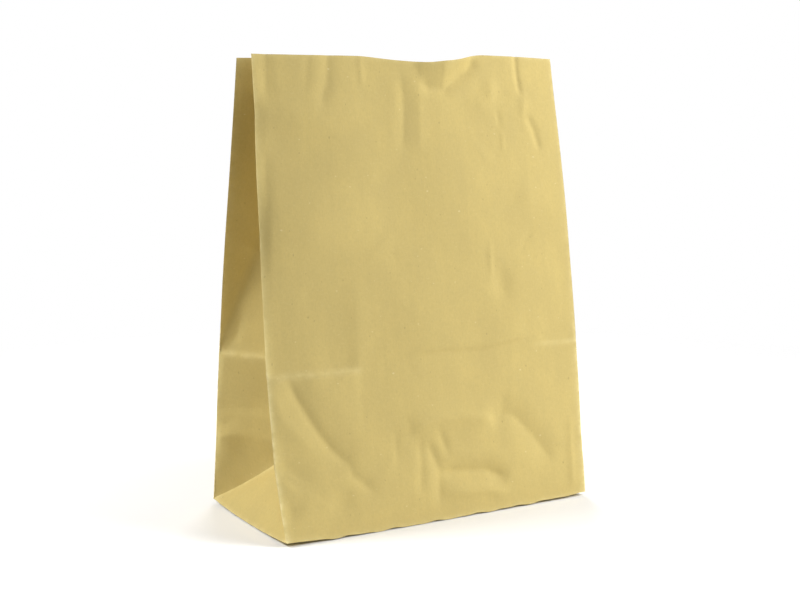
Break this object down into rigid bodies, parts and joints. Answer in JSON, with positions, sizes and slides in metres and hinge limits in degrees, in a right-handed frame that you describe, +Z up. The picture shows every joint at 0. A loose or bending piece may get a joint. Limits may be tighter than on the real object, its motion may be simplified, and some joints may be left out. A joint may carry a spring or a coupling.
{
  "type": "paper bag",
  "caption": "Self-standing kraft paper bag with V-folded side gussets, a folded and glued block bottom, a horizontal fold crease and a mouth that opens and closes on its creases.",
  "frame": {"origin": "centre of the base on the ground", "axes": "+X to the bag's right seen from the front, along its width; +Y from the front panel to the back panel; +Z up to the mouth"},
  "size_m": [0.254, 0.127, 0.3268],
  "materials": {
    "kraft_paper": "matte",
    "paste": "satin"
  },
  "bodies": {
    "base": {"bottom_front_flap": "kraft_paper", "bottom_back_flap": "kraft_paper", "bottom_glue": "paste", "bottom_left_tuck": "kraft_paper", "bottom_right_tuck": "kraft_paper"},
    "front_panel": {"front_panel_lower": "kraft_paper", "front_panel_upper": "kraft_paper"},
    "back_panel": {"back_panel_lower": "kraft_paper", "back_panel_upper": "kraft_paper", "seam_lap": "kraft_paper", "seam_glue": "paste"},
    "left_bottom_triangle": {"left_bottom_triangle": "kraft_paper"},
    "left_front_gusset_lower": {"left_front_gusset_lower": "kraft_paper"},
    "left_front_gusset_transition": {"left_front_gusset_transition": "kraft_paper"},
    "left_front_gusset_upper": {"left_front_gusset_upper": "kraft_paper", "left_front_gusset_mouth": "kraft_paper"},
    "left_back_gusset_lower": {"left_back_gusset_lower": "kraft_paper"},
    "left_back_gusset_transition": {"left_back_gusset_transition": "kraft_paper"},
    "left_back_gusset_upper": {"left_back_gusset_upper": "kraft_paper", "left_back_gusset_mouth": "kraft_paper"},
    "right_bottom_triangle": {"right_bottom_triangle": "kraft_paper"},
    "right_front_gusset_lower": {"right_front_gusset_lower": "kraft_paper"},
    "right_front_gusset_transition": {"right_front_gusset_transition": "kraft_paper"},
    "right_front_gusset_upper": {"right_front_gusset_upper": "kraft_paper", "right_front_gusset_mouth": "kraft_paper"},
    "right_back_gusset_lower": {"right_back_gusset_lower": "kraft_paper"},
    "right_back_gusset_transition": {"right_back_gusset_transition": "kraft_paper"},
    "right_back_gusset_upper": {"right_back_gusset_upper": "kraft_paper", "right_back_gusset_mouth": "kraft_paper"}
  },
  "joints": [
    {"name": "front_panel_hinge", "type": "hinge", "parent": "base", "child": "front_panel", "pos_m": [0, -0.0635, 0], "axis": [1, 0, 0], "range_deg": [-1.4, 3]},
    {"name": "back_panel_hinge", "type": "hinge", "parent": "base", "child": "back_panel", "pos_m": [0, 0.0635, 0], "axis": [-1, 0, 0], "range_deg": [-1.5, 3.1]},
    {"name": "left_triangle_hinge", "type": "hinge", "parent": "base", "child": "left_bottom_triangle", "pos_m": [-0.127, 0, 0], "axis": [0, -1, 0], "range_deg": [-2, 4]},
    {"name": "left_front_gusset_lower_hinge", "type": "hinge", "parent": "front_panel", "child": "left_front_gusset_lower", "pos_m": [-0.127, -0.06291, -0.00008], "axis": [0, 0.1392, 0.9903], "range_deg": [-3.4, 6.7]},
    {"name": "left_front_gusset_transition_hinge", "type": "hinge", "parent": "front_panel", "child": "left_front_gusset_transition", "pos_m": [-0.127, -0.06291, -0.00008], "axis": [0, 0.1392, 0.9903], "range_deg": [-5.5, 10.9]},
    {"name": "left_front_gusset_upper_hinge", "type": "hinge", "parent": "front_panel", "child": "left_front_gusset_upper", "pos_m": [-0.127, -0.06291, -0.00008], "axis": [0, 0.1392, 0.9903], "range_deg": [-7.6, 15.1]},
    {"name": "left_back_gusset_lower_hinge", "type": "hinge", "parent": "back_panel", "child": "left_back_gusset_lower", "pos_m": [-0.127, 0.06291, -0.0001], "axis": [0, 0.1702, -0.9854], "range_deg": [-3.4, 6.7]},
    {"name": "left_back_gusset_transition_hinge", "type": "hinge", "parent": "back_panel", "child": "left_back_gusset_transition", "pos_m": [-0.127, 0.06291, -0.0001], "axis": [0, 0.1702, -0.9854], "range_deg": [-5.5, 10.9]},
    {"name": "left_back_gusset_upper_hinge", "type": "hinge", "parent": "back_panel", "child": "left_back_gusset_upper", "pos_m": [-0.127, 0.06291, -0.0001], "axis": [0, 0.1702, -0.9854], "range_deg": [-7.6, 15.1]},
    {"name": "right_triangle_hinge", "type": "hinge", "parent": "base", "child": "right_bottom_triangle", "pos_m": [0.127, 0, 0], "axis": [0, 1, 0], "range_deg": [-2, 4]},
    {"name": "right_front_gusset_lower_hinge", "type": "hinge", "parent": "front_panel", "child": "right_front_gusset_lower", "pos_m": [0.127, -0.06291, -0.00008], "axis": [0, -0.1392, -0.9903], "range_deg": [-3.4, 6.7]},
    {"name": "right_front_gusset_transition_hinge", "type": "hinge", "parent": "front_panel", "child": "right_front_gusset_transition", "pos_m": [0.127, -0.06291, -0.00008], "axis": [0, -0.1392, -0.9903], "range_deg": [-5.5, 10.9]},
    {"name": "right_front_gusset_upper_hinge", "type": "hinge", "parent": "front_panel", "child": "right_front_gusset_upper", "pos_m": [0.127, -0.06291, -0.00008], "axis": [0, -0.1392, -0.9903], "range_deg": [-7.6, 15.1]},
    {"name": "right_back_gusset_lower_hinge", "type": "hinge", "parent": "back_panel", "child": "right_back_gusset_lower", "pos_m": [0.127, 0.06291, -0.0001], "axis": [0, -0.1702, 0.9854], "range_deg": [-3.4, 6.7]},
    {"name": "right_back_gusset_transition_hinge", "type": "hinge", "parent": "back_panel", "child": "right_back_gusset_transition", "pos_m": [0.127, 0.06291, -0.0001], "axis": [0, -0.1702, 0.9854], "range_deg": [-5.5, 10.9]},
    {"name": "right_back_gusset_upper_hinge", "type": "hinge", "parent": "back_panel", "child": "right_back_gusset_upper", "pos_m": [0.127, 0.06291, -0.0001], "axis": [0, -0.1702, 0.9854], "range_deg": [-7.6, 15.1]}
  ],
  "couplings": [
    {"joint": "back_panel_hinge", "follows": "front_panel_hinge", "ratio": 1},
    {"joint": "left_triangle_hinge", "follows": "front_panel_hinge", "ratio": 1.3},
    {"joint": "left_front_gusset_lower_hinge", "follows": "front_panel_hinge", "ratio": 2.2},
    {"joint": "left_front_gusset_transition_hinge", "follows": "front_panel_hinge", "ratio": 3.6},
    {"joint": "left_front_gusset_upper_hinge", "follows": "front_panel_hinge", "ratio": 5},
    {"joint": "left_back_gusset_lower_hinge", "follows": "front_panel_hinge", "ratio": 2.2},
    {"joint": "left_back_gusset_transition_hinge", "follows": "front_panel_hinge", "ratio": 3.6},
    {"joint": "left_back_gusset_upper_hinge", "follows": "front_panel_hinge", "ratio": 5},
    {"joint": "right_triangle_hinge", "follows": "front_panel_hinge", "ratio": 1.3},
    {"joint": "right_front_gusset_lower_hinge", "follows": "front_panel_hinge", "ratio": 2.2},
    {"joint": "right_front_gusset_transition_hinge", "follows": "front_panel_hinge", "ratio": 3.6},
    {"joint": "right_front_gusset_upper_hinge", "follows": "front_panel_hinge", "ratio": 5},
    {"joint": "right_back_gusset_lower_hinge", "follows": "front_panel_hinge", "ratio": 2.2},
    {"joint": "right_back_gusset_transition_hinge", "follows": "front_panel_hinge", "ratio": 3.6},
    {"joint": "right_back_gusset_upper_hinge", "follows": "front_panel_hinge", "ratio": 5}
  ]
}
